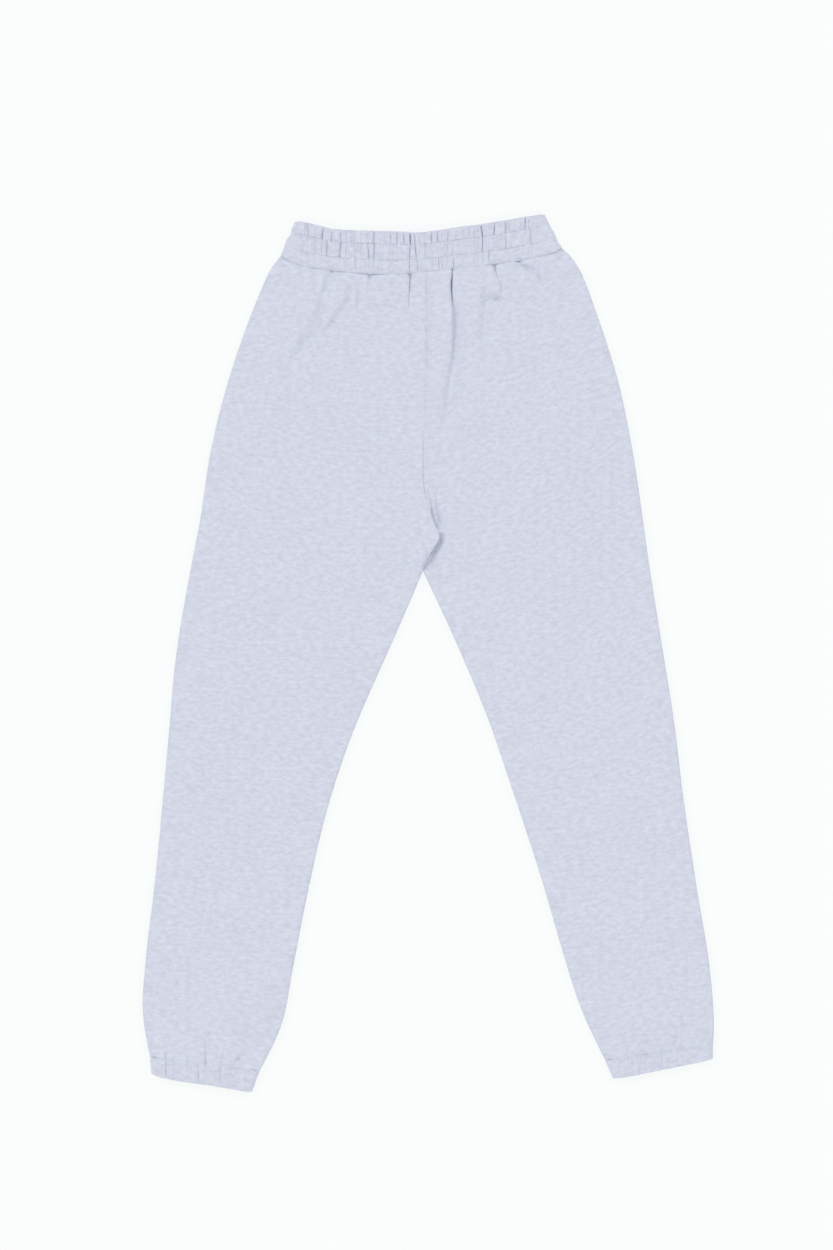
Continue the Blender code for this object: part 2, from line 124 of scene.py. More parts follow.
# the seat's spare cloth folding over at the crotch
# y, lap, crest, turn, foot, bed, bed_turn, bed_width, front_turn, bed_slope
CROTCH = [
    (204, 0, 7.3, 0, 5, 7.3, 0, 0, 0, 14),
    (190, 0.4, 7.3, 0, 5.2, 7.3, 0, 0, 0, 13),
    (180, 1.8, 7.4, 0, 5.4, 7.2, 0, 1, 0, 12),
    (170, 4.2, 7.6, 0, 5.6, 6.9, 0, 4, 0, 12),
    (164.5, 5.1, 7.9, 10, 5.6, 6.4, 0, 7, 0, 12),
    (158.4, 5.6, 8.6, 40, 5.6, 5.2, 0, 9.5, 0, 11),
    (151.7, 7.4, 9.9, 75, 5.4, 4, 0, 10, 0, 11),
    (144.9, 9.9, 10.7, 90, 5.8, 4.2, 0, 10.6, 0, 10),
    (138.2, 13.9, 11, 90, 8.4, 6.4, 0, 12.4, 0, 9),
    (131.4, 17, 11.2, 90, 6.2, 4.9, 0, 14, 0, 9),
    (124.7, 14.9, 11.6, 90, 4.8, 3.4, 0, 11.9, 0, 10),
    (117.9, 10.6, 11.6, 90, 4.6, 3.3, 0, 7.6, 0, 10),
    (111.2, 6.6, 11.5, 90, 4.6, 3.3, 0, 4.2, 0, 10.5),
    (104.4, 3.9, 11, 90, 4.6, 3.3, 0, 2.2, 0, 11),
    (98.5, 1.4, 9.6, 90, 4.6, 3.7, 10, 1.4, 20, 14),
    (92, 0, 7.2, 90, 3.9, 6.9, 45, 0, 45, 45),
    (85, 0, 6.8, 90, 3.7, 6.8, 75, 0, 75, 45),
    (78, 0, 6.5, 90, 3.4, 6.5, 90, 0, 90, 45),
    (66, 0, 6.3, 90, 3.2, 6.3, 90, 0, 90, 45),
]
# corners of the casings' free edges: side_x, side_y, inner_x, inner_y
CASING_EDGE = {
    "left": (-312.4, -474.0, -198.2, -493.4),
    "right": (320.8, -457.4, 207.2, -479.4),
}

# creases in the back panels: half width, how sudden the turn over it is, half width of its crack,
# how far its left lip leans over, and from its upper end down its places with the rise of the left
# side, the fall of the right and the crack there in tenths of a millimetre
# width, turn, crack, lip, [(y, x, rise, fall, slit)]
CREASES = {"left": [
    (3, 1.2, 0.85, 0, [(176, -5.2), (171, -5.2, -1, 1, 10), (165, -4.8, -1, 1, 10),
     (158, -2.8, -1, 1, 7), (151, 0, -1, 1, 7), (145, 1.6, -1, 1, 10), (139, 2.6)]),
    (4, 1.5, 0.85, 0.5, [(440, -20.6, -3, 5, 34), (428, -20.3, -4, 5, 36), (418, -21, -3, 5, 20),
     (405, -21.9, -2, 5, 12), (390, -22.3, -1, 4, 11), (380, -22.6)]),
    (5, 2, 1.7, 0, [(436, -66, -4, 6, 23), (425, -66.6, -5, 7, 33), (418, -66.9, -4, 6, 24),
     (411, -67.4, -2, 4, 10), (403, -68.2, -1, 2, 5), (392, -69)]),
    (4.5, 3, 1.7, 0, [(420, -78.6), (410, -79.2, 0, 2, 12), (400, -79.8, 0, 3, 21),
     (390, -80, 0, 3, 17), (376, -80)]),
    (8, 4, 3, 0, [(420, -84), (409, -88, 2, 7, 17), (402, -90.4, 3, 9, 28),
     (394, -93.4, 4, 10, 32), (388, -96.8, 4, 14, 29), (381, -102.4, 4, 15, 22),
     (375, -107.2, 3, 13, 19), (368, -110.6, 2, 10, 19), (362, -115, 1, 7, 14), (350, -121)]),
    (6, 4, 2.7, 0, [(440, -105, -2, 2, 8), (427.8, -109.2, 2, 4, 28), (416, -114.2, 2, 5, 30),
     (410, -116.6, 2, 4, 22), (399, -119.6)]),
    (9, 6, 4.8, 0, [(418, -111.5), (405, -116.4, 2, 4, 22), (390, -120.4, 3, 4, 26),
     (375, -125, 3, 5, 32), (356, -135, 3, 5, 33), (340, -145, 2, 4, 33), (325, -154, 2, 3, 28),
     (300, -166)]),
    (4, 1.5, 1, 0, [(116, 1.8), (111, -0.3, 3, 4, 26), (107, -1.8, 3, 4, 30),
     (102, -4.2, 3, 4, 36), (97, -6.2, 2, 3, 34), (93, -7.4, 1, 1, 10)]),
    (3.5, 1.5, 1.1, 0, [(-428, -250.2), (-436, -250.5, -3, 5, 13), (-448, -250.8, -4, 6, 16),
     (-459, -250.9, -4, 6, 16), (-466, -251, -4, 5, 8), (-472, -251, -3, 3, 4)]),
    (4, 1.5, 1.1, 0, [(-444, -295), (-450, -295.3, -4, 5, 14), (-460, -295.6, -4, 5, 12)]),
    (4, 1.5, 1.1, 0, [(-446, -230), (-453, -231, -4, 5, 16), (-464, -233.2, -5, 6, 15)]),
    (4.5, 2, 1.7, 0, [(-446, -203), (-453, -210.4, -5, 6, 19), (-462, -217, -6, 6, 22),
     (-470, -222, -4, 4, 14)]),
    (5, 2, 1.4, 0, [(-440, -273), (-450, -272, -5, 4, 10), (-466, -270.5, -5, 4, 14)]),
], "right": [
    (6, 1.5, 1.15, 1, [(445, 26, 6, 3, 16), (431.8, 26, 8, 3, 23), (425, 26, 10, 0, 34),
     (413.8, 25.4, 13, -6, 85), (405, 25.3, 12, -2, 44), (397, 25.6, 8, 0, 16), (388, 26.3)]),
    (11.5, 2.2, 1.6, 0, [(412, 25), (402.5, 25, 5, 14, 8), (391.3, 26, 12, 28, 6),
     (380, 26.9, 17, 38, 4), (368.8, 26.9, 17, 39, 3), (351.9, 26.7, 15, 38, 0),
     (335, 26, 8, 22, 0), (318.2, 24.3, 3, 9, 0), (300, 21.5)]),
    (11.5, 7, 5.2, 0, [(362, 29.4), (335, 28.2, 4, 14, 22), (318.2, 26.2, 5, 18, 32),
     (300, 23.6, 5, 18, 30), (285, 21.8, 4, 15, 27), (270, 20, 2, 11, 25), (246, 16.4)]),
    (6, 1.8, 1.2, 0.5, [(446, 73.8, -2, 5, 30), (436, 74, -2, 7, 31), (428.4, 75.2, -1, 9, 19),
     (420, 77.8, 3, 9, 6), (411, 80.8, 5, 9, 4), (399, 84)]),
    (10, 6, 5.4, 0, [(414, 67), (402, 66, 0, 8, 30), (388, 64.1, 1, 15, 40),
     (375, 62.8, 1, 12, 32), (360, 61.5, 1, 8, 23), (342, 58.5)]),
    (7, 3, 2.5, 0, [(449, 99, -2, 4, 14), (436.3, 104.4, -1, 8, 27), (428.8, 120.4, 2, 8, 28),
     (422, 125.2, 2, 6, 23), (416, 129, 2, 6, 20), (398, 134)]),
    (5, 2, 1.5, 0, [(184, 8.2), (175, 9, 0, 5, 10), (166, 8.8, 0, 8, 19), (158.4, 9.4, 0, 8, 15),
     (151.7, 9.6, 0, 5, 10), (146, 9.8)]),
    (4.5, 1.8, 1.2, 0, [(-400, 284), (-409, 285, -4, 5, 15), (-425, 285.6, -4, 6, 16),
     (-436, 285.2, -3, 5, 15), (-446, 284, -2, 3, 8)]),
    (5, 1.8, 1.4, 0, [(-418, 284), (-428, 280, -4, 5, 12), (-440, 275.5, -4, 5, 13),
     (-448, 272, -3, 4, 8)]),
    (5, 2, 1.4, 0, [(-428, 238), (-438, 241, -4, 5, 10), (-452, 244, -4, 5, 14)]),
    (5, 2, 1.6, 0, [(-432, 217), (-442, 220, -4, 4, 9), (-456, 225, -4, 4, 11)]),
]}
# soft hollows and rises in the back panels
# x, y, length, width, angle, height
DENTS = {"left": [
    (8, 137.5, 4, 3.6, 0, -1.2), (-12, 364, 5, 8, 0, -1.5), (-11, 317, 5, 9, 0, -1.2),
    (-57, 388, 20, 3.4, 9, -1.9), (-46, 402, 16, 7, 12, 1), (-136, 352, 9, 6, 45, -1.2),
    (-135, 398, 16, 22, -25, 0.6), (-298, -428, 12, 22, 0, -0.6), (-262, -440, 16, 12, 0, -0.6),
    (-205, -432, 12, 14, 20, -0.5),
], "right": [
    (73.5, 398.8, 9.5, 2.4, -4, -4.9), (63.6, 406, 2.6, 4.5, 0, -1.8),
    (82.7, 407.5, 2.6, 4.5, 0, -1.6), (73, 405.2, 7, 4.4, 0, 2.2), (50, 372, 7, 20, 0, 0.6),
    (115, 437.2, 10, 2.6, -25, 1), (112, 420, 12, 5, -35, 0.4), (31, 74, 26, 9, 10, -0.8),
    (38, 352, 9, 24, 0, -0.5), (12.4, 136.6, 5.5, 2.7, 0, 4.8), (26, 156, 7, 13, 0, 1.5),
    (30, 118, 8, 14, 30, 0.4), (15.5, 115, 14, 5, 59, 1.2), (232, -434, 16, 9, 10, -0.5),
    (262, -447, 16, 5, 10, -0.7), (300, -420, 10, 18, 0, 0.5), (288, -405, 7, 2, 0, -0.5),
]}
# the waistband's gathers: depth in each channel and how far each runs on below, in tenths
# top_x, bottom_x, upper, middle, lower, below
BAND_GATHERS = [
    (-145, -147, 3, 2, 3, 1), (-136, -135.5, 4, 3, 3, 5), (-126.1, -128, 7, 5, 3, 2),
    (-118.3, -121, 21, 9, 3, 1), (-112.5, -115, 7, 18, 4, 2), (-108.1, -110, 13, 5, 6, 10),
    (-98, -100, 13, 18, 4, 2), (-92, -92, 3, 5, 3, 3), (-82.3, -82.3, 4, 8, 11, 3),
    (-74.4, -74.4, 3, 7, 4, 2), (-68.8, -65.6, 8, 13, 5, 12), (-60.9, -62, 19, 19, 7, 4),
    (-54, -51.9, 3, 4, 8, 3), (-49, -50, 4, 3, 5, 2), (-42.8, -43.9, 6, 8, 6, 3),
    (-34.9, -37, 14, 8, 5, 2), (-31.5, -31.5, 5, 5, 3, 1), (-28.1, -26, 14, 6, 5, 2),
    (-20.3, -21.5, 31, 12, 13, 20), (-15.8, -12.4, 15, 18, 13, 3), (-10.2, -9, 8, 5, 5, 2),
    (-4, -4, 5, 3, 3, 1), (3.4, 4.5, 19, 8, 7, 1), (10.1, 12, 20, 7, 8, 1),
    (14.8, 16, 7, 4, 6, 1), (22.5, 20, 12, 8, 6, 2), (26, 28.1, 6, 9, 11, 12),
    (31, 31, 5, 4, 4, 2), (38.3, 38, 8, 4, 3, 2), (46.1, 46, 14, 5, 5, 2), (52, 51, 8, 4, 4, 2),
    (59.6, 61.5, 30, 16, 7, 3), (66, 68.6, 3, 4, 9, 3), (74.3, 73.8, 19, 5, 5, 14),
    (80, 80, 4, 3, 3, 3), (86.6, 87, 16, 9, 3, 2), (91, 91, 5, 3, 3, 2),
    (98.5, 100.7, 5, 3, 3, 7), (109.1, 110, 10, 5, 3, 2), (114.4, 116, 7, 14, 7, 2),
    (120, 121, 4, 6, 3, 3), (127, 128, 3, 2, 2, 1), (136, 137, 2, 2, 1, 1),
]
BAND_GATHERS = [(*row[:2], *(v / 10 for v in row[2:])) for row in BAND_GATHERS]
# where the waistband's seam sinks in: place, half length and depth
# x, length, depth
SEAM_SINKS = [
    (-130, 5, 1.4), (-104, 9, 1.9), (-66, 11, 3.6), (-39, 11, 0.5), (-21.5, 3.2, 2.8),
    (26.4, 4.2, 0.6), (74, 4, 3.2), (100.5, 3.6, 3.4), (137, 5, 0.4),
]
# the hem casings' gathers: share of the way from the side fold, depth, how far each runs on above
# share, depth, above
CASING_GATHERS = {"left": [
    (0.06, 0.6, 0.3), (0.146, 2.8, 0.35), (0.22, 1.5, 0.5), (0.28, 0.9, 0.5), (0.34, 1, 0.5),
    (0.39, 0.8, 0.4), (0.44, 1.6, 0.4), (0.505, 1.5, 0.8), (0.56, 1.2, 0.6), (0.645, 2.9, 0.7),
    (0.69, 1.2, 0.4), (0.735, 1.4, 0.7), (0.8, 1.2, 0.9), (0.87, 1, 0.4), (0.955, 1.6, 0.1),
], "right": [
    (0.06, 0.7, 0.3), (0.12, 0.8, 0.3), (0.2, 1, 0.5), (0.28, 1.2, 0.8), (0.335, 1.2, 0.8),
    (0.42, 0.9, 0.5), (0.48, 1, 0.4), (0.54, 1.5, 0.6), (0.62, 1.6, 0.7), (0.68, 1.3, 0.6),
    (0.75, 0.9, 0.4), (0.83, 0.7, 0.3), (0.91, 0.5, 0.1),
]}
# how far the casings' free folds bow out: share of the way across, distance
CASING_BOW = {"left": [
    (0, -1), (0.08, 1.6), (0.25, 2.5), (0.42, 1.9), (0.58, 1.2), (0.9, 1.4), (1, 0.9),
], "right": [
    (0, -1.2), (0.08, 0), (0.2, 0.3), (0.5, 0.6), (0.8, 0.9), (0.92, 0.7), (1, -1),
]}
# where the casings' seams sink in: share of the way across, half length and depth
CASING_SINKS = {"left": [
    (0.12, 0.06, 0.2), (0.35, 0.08, 0.3), (0.66, 0.06, 0.4), (0.79, 0.06, 0.6),
], "right": [
    (0.28, 0.05, 0.3), (0.5, 0.07, 0.9), (0.66, 0.08, 1.2),
]}
# slope of the knit's courses across each panel, in degrees, by level
# y, left, right
COURSES = [
    (480, 2, 12.5), (330, -1, 13), (250, -4, 12), (50, 0.5, 10), (-100, 0, 7), (-200, -1.5, 7),
    (-350, -3.5, 8.5), (-480, -3.5, 8.5),
]

# steps in a rounded edge, and the spacing of a panel's rows from each level down
ARC_STEPS = 7
# level, spacing
ROW_STEPS = [
    (428.6, 0.9), (412, 1.3), (395, 2.2), (350, 3), (215, 3.2), (190, 2), (165, 1.3), (92, 1.8),
    (55, 3.4), (20, 5.6), (-400, 2.2), (-448, 1),
]
LAST_ROW = 0.8
# columns of the back panels out from the centre seam, closer where creases need it
# end of the run, spacing
COLUMN_RUNS = {"left": [
    (7, 0.55), (15, 1.7), (27, 0.65), (62, 3.3), (84, 0.85), (116, 1.6),
], "right": [
    (7, 0.55), (16, 0.9), (20, 1.5), (33, 0.5), (56, 2.8), (70, 1.5), (81, 0.7), (88, 1.3),
]}
FRONT_COLUMNS = [4, 10, 20, 32, 46, 62, 80]
COLUMNS_SHARE = 0.66
# grids of a front half and a back half: coarseness of a panel's rows, columns over the rest of
# it, a channel's rows and column spacing, a casing's rows and columns
ROW_SCALE, REST_COLUMNS = (2.4, 1), (14, 36)
BAND_ROWS, BAND_SPACING = (6, 15), (1.9, 0.45)
CASING_ROWS, CASING_COLUMNS = (8, 18), (60, 200)

# how far down the waist seam bends the rows, and how far from the edges relief fades in
WAIST_REACH = 90
PANEL_EDGE, INNER_EDGE, BAND_EDGE, CASING_SIDE = 12, 6, 7, 6
# broad unevenness of the back panels
# height, scale, seed
SWELLS = [(0.40, 95, 3.1), (0.20, 32, 8.3), (0.06, 11, 5.7)]
# creases: rounding along them, fade past their ends, unevenness of the cracks with its scale and
# seed, and the crack's depth at which a lip leans in full
CREASE_EASE, CREASE_FADE = 2.5, 3
CRACK_UNEVEN, CRACK_NOISE = 0.45, (7, 6.6)
LIP_DEPTH, LIP_WIDTH = 1.5, 1.5
# gathers that run on into a panel: share of their depth, half width, least reach, added reach
BELOW_BAND, ABOVE_CASING = (0.9, 1.7, 4, 6), (1.1, 1.8, 5, 9)
# least depth of the seams, and how far cloth dips beside them
WAIST_SEAM_DEPTH, WAIST_SEAM_REACH = 0.42, 1.9
CASING_SEAM_DEPTH, CASING_SEAM_REACH, CASING_REACH = 0.25, 1.3, 2.6
BAND_HEIGHT, CASING_HEIGHT = 43, 22
# the centre seam: where it starts and its rows change, with their blends, how firm the rows are,
# the close line, the ridge over the allowances and the pucker
SEAT_FROM, SEAT_BLEND, ROWS_FROM, ROWS_BLEND = 150, 10, 270, 50
ROW_FIRM, ROW_WIDTH = {"left": 1, "right": 0.2}, 0.7
LINE_PLACE, LINE_WIDTH = 1.2, 0.6
RIDGE_HEIGHT, RIDGE_WIDTH = 0.20, 2.2
PUCKER_DEPTH, PUCKER_PACE, PUCKER_WIDTH = 0.12, 0.75, 5
TOPSTITCH, TOPSTITCH_FROM, TOPSTITCH_TO = 3.2, 425, 174
# gathers: share of their depth beside the stitching, how blunt they are between, and the depth of
# their wide hollow with the depth and half width of the narrow one
BAND_SWELL, CASING_SWELL, SWELL_BLUNT = 0.55, 0.6, 2.2
BAND_FOLD, CASING_FOLD = (0.60, 1.05, 0.75), (0.55, 0.35, 0.8)
FINE_DEPTHS, FINE_WIDTH = (1.9, 1.6, 1.4), 0.9
# share of that depth that shows and the deepest, in a front half and a back half, and what the
# gathers draw in of the free folds
BAND_SINK, CASING_SINK = ((0.45, 0.8), (0.85, 4.4)), ((0.4, 0.7), (0.8, 3.4))
RIM_DEEPEST, BAND_RIM, CASING_RIM = 2.5, 0.25, 0.35
CASING_SPREAD, CASING_SHRINK = 0.075, (1.5, 1)
# rows of stitching across the band and how near it they draw in the cloth, and its corners
STITCH_ROWS, STITCH_REACH, STITCH_SEED = (0.287, 0.667), 1 / 9, 5.1
CORNER, CORNER_REACH = 1.4, 1.8
CASING_STITCH = 2.6
# thread: height above the cloth, spacing, length and radius of a stitch, and its sides and rings
STITCH_RISE, STITCH_SPACING, STITCH_LENGTH, STITCH_RADIUS = 0.08, 3, 2.3, 0.2
STITCH_SIDES = 6
# along, size
STITCH_RINGS = [(-0.5, 0.35), (-0.3, 0.85), (0, 1), (0.3, 0.85), (0.5, 0.35)]


def columns(table, key, value):
    """Two columns of a table in the order of the first."""
    rows = np.array([(row[key], row[value]) for row in table], float)
    return rows[np.argsort(rows[:, 0])].T


def curve(table, key, value, at):
    """Smooth curve through two columns of a table, read at any places."""
    keys, values = columns(table, key, value)
    steps = np.diff(keys)
    slopes = np.diff(values) / steps
    tangents = np.zeros(len(keys))
    weighted = slopes[:-1] * steps[1:] + slopes[1:] * steps[:-1]
    tangents[1:-1] = weighted / (steps[1:] + steps[:-1])
    tangents[0] = 1.5 * slopes[0] - 0.5 * tangents[1]
    tangents[-1] = 1.5 * slopes[-1] - 0.5 * tangents[-2]
    at = np.asarray(at, float)
    i = np.clip(np.searchsorted(keys, at, side="right") - 1, 0, len(keys) - 2)
    t = (at - keys[i]) / steps[i]
    start = (1 + 2 * t) * (1 - t) ** 2 * values[i] + t * (1 - t) ** 2 * steps[i] * tangents[i]
    end = t * t * (3 - 2 * t) * values[i + 1] + t * t * (t - 1) * steps[i] * tangents[i + 1]
    return start + end


def line(table, key, value, at):
    """Straight-line reading between two columns of a table, held level past its ends."""
    return np.interp(at, *columns(table, key, value))


def eased(table, key, value, at, reach=4.0):
    """Straight-line reading with its corners rounded over a reach."""
    parts = [line(table, key, value, at + reach * k / 3) for k in range(-3, 4)]
    return sum(parts) / len(parts)


def smooth(t):
    """Ease from nought to one."""
    t = np.clip(t, 0.0, 1.0)
    return t * t * (3 - 2 * t)


def bell(d):
    """One at the middle, falling to nought on both sides."""
    return np.exp(-(d * d))


def fade(d, reach):
    """One at nought, falling away on both sides over a reach."""
    return np.exp(-np.abs(d) / reach)


def noises(x, y, scale, seed):
    """Smooth noise in -1 to 1 over arrays of places."""
    flat = zip(np.ravel(x) / scale, np.ravel(y) / scale)
    values = [noise.noise(Vector((u, v, seed))) for u, v in flat]
    return np.array(values).reshape(np.shape(x))


def crease_relief(panel, x, y):
    """Sideways lean and height that the creases and hollows of a panel add at each point."""
    lean, height = np.zeros_like(x), np.zeros_like(x)
    uneven = 1 + CRACK_UNEVEN * noises(x, y, *CRACK_NOISE)
    for width, turn, crack, lip, path in CREASES[panel]:
        path = [(py, px, *(v / 10 for v in more or (0, 0, 0))) for py, px, *more in path]
        at, rise, fall, slit = (eased(path, 0, k, y, CREASE_EASE) for k in (1, 2, 3, 4))
        slope = eased(path, 0, 1, y + 1, CREASE_EASE) - eased(path, 0, 1, y - 1, CREASE_EASE)
        across = (x - at) / np.sqrt(1 + slope**2 / 4)
        beyond = np.maximum(y - path[0][0], path[-1][0] - y)
        inside = bell(np.maximum(beyond, 0) / CREASE_FADE)
        over = smooth(0.5 + across / turn)
        shelf = 1 - smooth((np.abs(across) / width - 0.4) / 1.1)
        height += inside * (bell(across / width) * rise * (1 - over) - shelf * fall * over)
        height -= inside * slit * uneven * bell(across / crack)
        lean += inside * lip * np.minimum(slit / LIP_DEPTH, 1) * bell((across + 1) / LIP_WIDTH)
    for px, py, length, width, angle, rise in DENTS[panel]:
        c, s = cos(radians(angle)), sin(radians(angle))
        u, v = (x - px) * c + (y - py) * s, (y - py) * c - (x - px) * s
        height += rise * np.exp(-((u / length) ** 2) - (v / width) ** 2)
    return lean, height


def arc(turn, foot, shoulder):
    """A rounded edge as distances in from the edge and heights, foot first."""
    fall = shoulder - foot
    run = abs(fall) * pi / 2 / ARC_STEPS
    distance, height = 0.0, shoulder
    columns = [(0.0, shoulder)]
    for k in range(ARC_STEPS):
        angle = radians(turn) * (k + 0.5) / ARC_STEPS
        distance += run * cos(angle)
        height -= copysign(run, fall) * sin(angle)
        columns.append((distance, height))
    return [(distance - d, h) for d, h in reversed(columns)]


def lap_edge(turn, foot, shoulder):
    """The folded edge of the seat's lap: as an arc where it starts, and where it has turned over
    a tight fold tucked under at its foot."""
    wide = arc(turn, foot, shoulder)
    radius = min(LAP_RADIUS, shoulder - foot)
    tight = [(LAP_TUCK, foot), (0.0, shoulder - radius)]
    for k in range(1, ARC_STEPS):
        angle = pi / 2 * k / (ARC_STEPS - 1)
        tight.append((radius * (1 - cos(angle)), shoulder - radius * (1 - sin(angle))))
    share = (turn / 90.0) ** 2
    return [(a + (c - a) * share, b + (d - b) * share) for (a, b), (c, d) in zip(wide, tight)]


def side_fold(back, shoulder):
    """The rounded side fold of a back piece, or of the front piece that meets it."""
    return arc(90.0, FOOT, shoulder) if back else arc(90.0, FOLD, 0.0)


def across_row(near, places, far, width):
    """Places across a row: its near edge, the places between and its far edge."""
    return np.array([d for d, h in near] + places + [width - d for d, h in reversed(far)])


def with_edges(height, near, far):
    """The heights across a row with those of its two rounded edges put in."""
    height[: len(near)] = [h for d, h in near]
    height[-len(far):] = [h for d, h in reversed(far)]
    return height


def even_row(back, width, count, height, fade_in):
    """Places across a row level between its side folds, its heights, and relief's fading in."""
    ends = side_fold(back, height)
    first = ends[-1][0]
    places = [first + (width - 2 * first) * k / count for k in range(1, count)]
    place = across_row(ends, places, ends, width)
    level = with_edges(np.full_like(place, height), ends, ends)
    keep = smooth((np.minimum(place, width - place) - first) / fade_in)
    return place, level, keep


def raised(z, floor, keep):
    """Heights held clear of the cloth below, but for the side folds."""
    return np.where(keep > 0.95, np.maximum(z, floor), z)


def levels(panel, coarse):
    """Levels of a panel's rows from the waist seam to the hem."""
    hem = SECTIONS[panel][-1][3]
    rows, level = [], TOP_LEVEL
    while level > hem + LAST_ROW:
        rows.append(level)
        step = [s for start, s in ROW_STEPS if start >= level - 1e-6][-1]
        level -= step * coarse
    return rows + [hem]


def inner_x(panel, level):
    """The centre seam above the crotch, and the inseam below it."""
    above = level >= APEX
    rows = [row for row in SECTIONS[panel] if (row[3] >= APEX if above else row[3] <= APEX)]
    return float(curve(rows, 3, 2, level))


def inner_steps(panel, back):
    """Distances of the columns from the inner shoulder."""
    if not back:
        return FRONT_COLUMNS
    places, at = [], 0.0
    for end, step in COLUMN_RUNS[panel]:
        while at < end - 0.5 * step:
            at += step
            places.append(at)
    return places


def panel_grid(panel, back):
    """The outer face of a panel as a grid of points, side fold first."""
    sections, grid = SECTIONS[panel], []
    inner_places, count = inner_steps(panel, back), REST_COLUMNS[back]
    for level in levels(panel, ROW_SCALE[back]):
        side_x, side_y, crown = (float(curve(sections, 3, k, level)) for k in (0, 1, 4))
        in_x = inner_x(panel, level)
        lap, crest, lap_turn, lap_foot, bed, bed_turn, bed_width, front_turn, bed_slope = (
            float(eased(CROTCH, 0, k, level)) for k in range(1, 10))
        near_side, near_inner = side_fold(back, SHOULDER), arc(front_turn, FOLD, 0.0)
        level_width, slope_width = 0.0, SLOPE_WIDTH
        if back:
            top = crown - CROWN if level > APEX else 0.0
            if panel == "right":
                level_width, slope_width = bed_width, bed_slope
                shoulder = bed + top
                near_inner = arc(bed_turn, bed - BED_EDGE, shoulder)
            else:
                in_x += lap
                shoulder = crest + top
                slope_width = LAP_SLOPE_WIDTH if level > APEX else SLOPE_WIDTH
                near_inner = (lap_edge if level > APEX else arc)(lap_turn, lap_foot, shoulder)
        in_x -= SEAM_GAP / 2 if panel == "left" else -SEAM_GAP / 2
        width = abs(in_x - side_x)
        first, last = near_side[-1][0], near_inner[-1][0]
        flat = width - first - last
        squeeze = min(1.0, COLUMNS_SHARE * flat / inner_places[-1])
        from_inner = [step * squeeze for step in inner_places]
        rest = flat - from_inner[-1]
        places = [first + rest * k / count for k in range(1, count + 1)]
        places += [width - last - step for step in reversed(from_inner[:-1])]
        place = across_row(near_side, places, near_inner, width)
        height = np.zeros_like(place)
        if back:
            down = np.clip(1 - (place - first) / SLOPE_WIDTH, 0, None)
            beside = np.clip(width - last - place - level_width, 0, None) / slope_width
            inward = np.clip(1 - beside, 0, None) ** 2
            if panel == "right" and level > APEX:
                inward = (inward + 1 - smooth(beside)) / 2
            height = crown - (crown - SHOULDER) * down**2 - (crown - shoulder) * inward
        height = with_edges(height, near_side, near_inner)
        x = side_x + place / width * (in_x - side_x)
        y = side_y + place / width * (level - side_y)
        waist = 1 - float(smooth((TOP_LEVEL - level) / WAIST_REACH))
        if waist > 0:
            top_x = sections[0][0] + place / width * (sections[0][2] - sections[0][0])
            top_line = sections[0][1] + place / width * (sections[0][3] - sections[0][1])
            y = y + waist * (curve(WAIST_SEAM, 0, 1, top_x) - SEAM_GAP / 2 - top_line)
        grid.append(np.stack([x, y, height, place, width - place], axis=1))
    grid = np.array(grid)
    return grid[:, ::-1] if panel == "right" else grid


def run_on(apart, beyond, depth, gather):
    """Depth of a gather that runs on into a panel, apart from its middle and beyond its seam."""
    share, width, least, more = gather
    reach = least + more * depth
    return share * depth * fade(apart, width) * bell(beyond / reach)


def seam_sink(least, sinks, at):
    """How deep a seam sinks in along its length: at least so deep, and more at its sinks."""
    depth = np.full_like(at, least)
    for middle, half, deep in sinks:
        depth = depth + deep * bell((at - middle) / half)
    return depth


